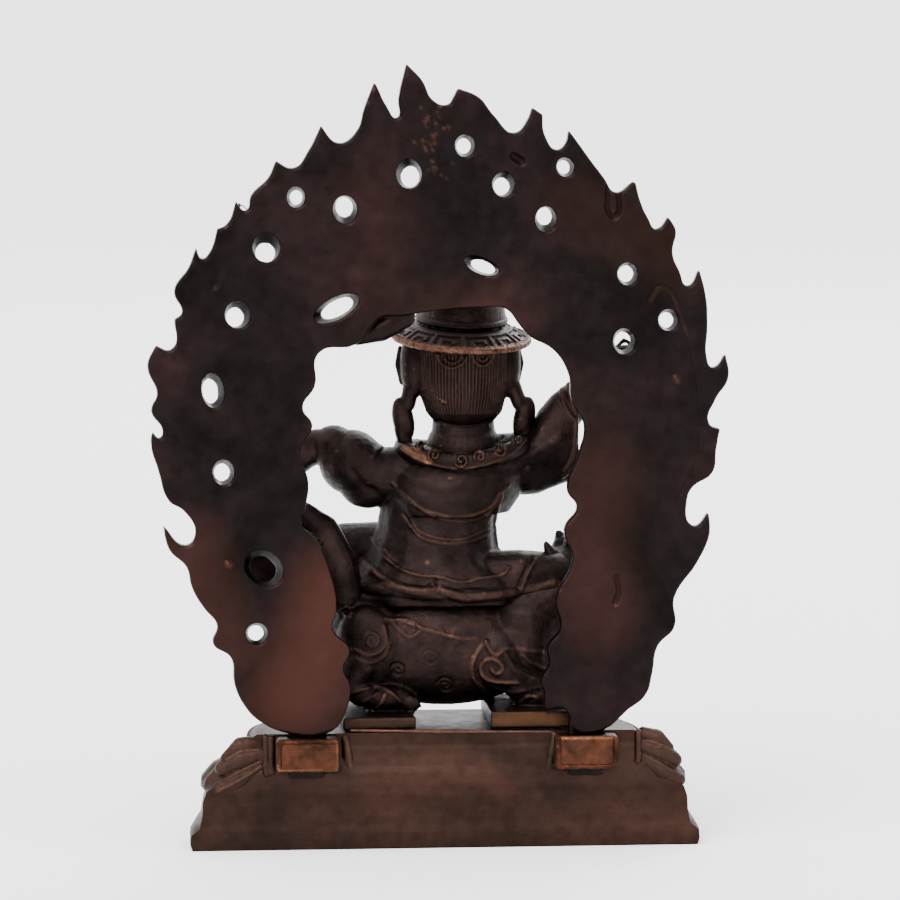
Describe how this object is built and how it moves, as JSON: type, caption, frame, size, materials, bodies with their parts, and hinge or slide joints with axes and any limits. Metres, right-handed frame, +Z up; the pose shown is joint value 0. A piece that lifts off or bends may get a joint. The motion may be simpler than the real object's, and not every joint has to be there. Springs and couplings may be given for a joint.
{
  "type": "statue",
  "caption": "Small cast-copper statue: a robed protector in a round hat rides a lion on a lotus base, inside a pierced flame aureole that lifts out.",
  "frame": {"origin": "middle of the base's underside", "axes": "+Z up, the figure faces -Y, +X towards the figure's left hand"},
  "size_m": [0.11, 0.0444, 0.1495],
  "materials": {
    "body_copper": "dark oxidised cast copper, satin, worn bare on the high edges",
    "plate_copper": "cast copper with a reddish and purplish heat patina, satin"
  },
  "bodies": {
    "root": {"lotus_base": "plate_copper", "flame_aureole": "plate_copper", "dorje_legpa_on_lion": "body_copper"}
  },
  "joints": []
}
